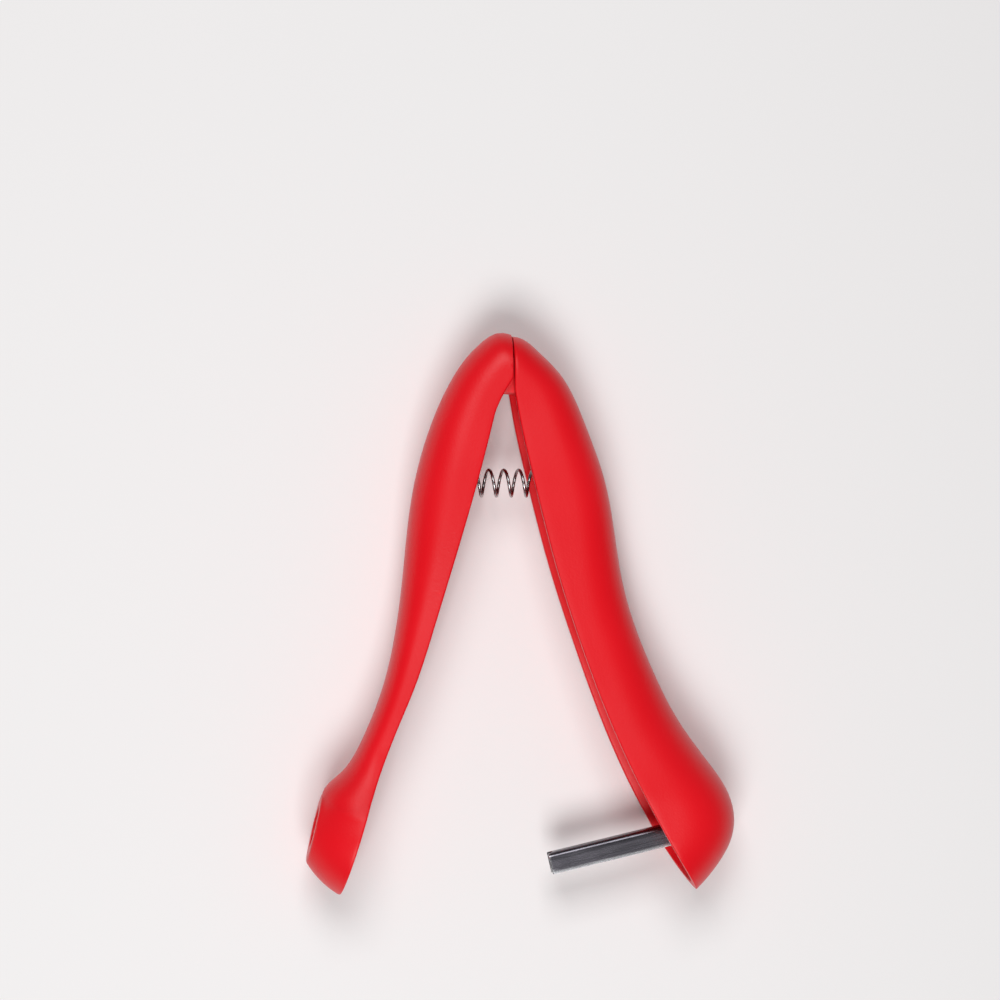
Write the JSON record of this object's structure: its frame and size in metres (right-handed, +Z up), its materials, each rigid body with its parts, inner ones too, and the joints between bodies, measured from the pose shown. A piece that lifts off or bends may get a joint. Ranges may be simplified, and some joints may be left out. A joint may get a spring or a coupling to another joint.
{
  "type": "cherry pitter",
  "caption": "Hand-held cherry pitter: two hollow plastic arms on a hinge pin, opened by a coil spring, with a cup for the cherry on one and a steel punch in a splash shield on the other.",
  "frame": {"origin": "bottom centre of the box round the open tool, which lies on its side", "axes": "+Y from the arm tips towards the hinge, +X from the cup arm towards the punch arm, +Z up along the hinge axis"},
  "size_m": [0.0964, 0.126, 0.026],
  "materials": {
    "arm_plastic": "fine satin",
    "pin_steel": "turned",
    "spring_wire": "drawn wire",
    "punch_steel": "rolled sheet"
  },
  "bodies": {
    "cup_arm": {"cup_arm": "arm_plastic", "hinge_pin": "pin_steel", "spring": "spring_wire"},
    "punch_arm": {"punch_arm": "arm_plastic", "punch": "punch_steel"}
  },
  "joints": [
    {"name": "squeeze", "type": "hinge", "parent": "cup_arm", "child": "punch_arm", "pos_m": [-0.00551, 0.05271, 0.013], "axis": [0, 0, -1], "range_deg": [0, 29], "stiffness_Nm_per_rad": 0.7, "springref_deg": -9.74, "deforming": ["spring"]}
  ]
}
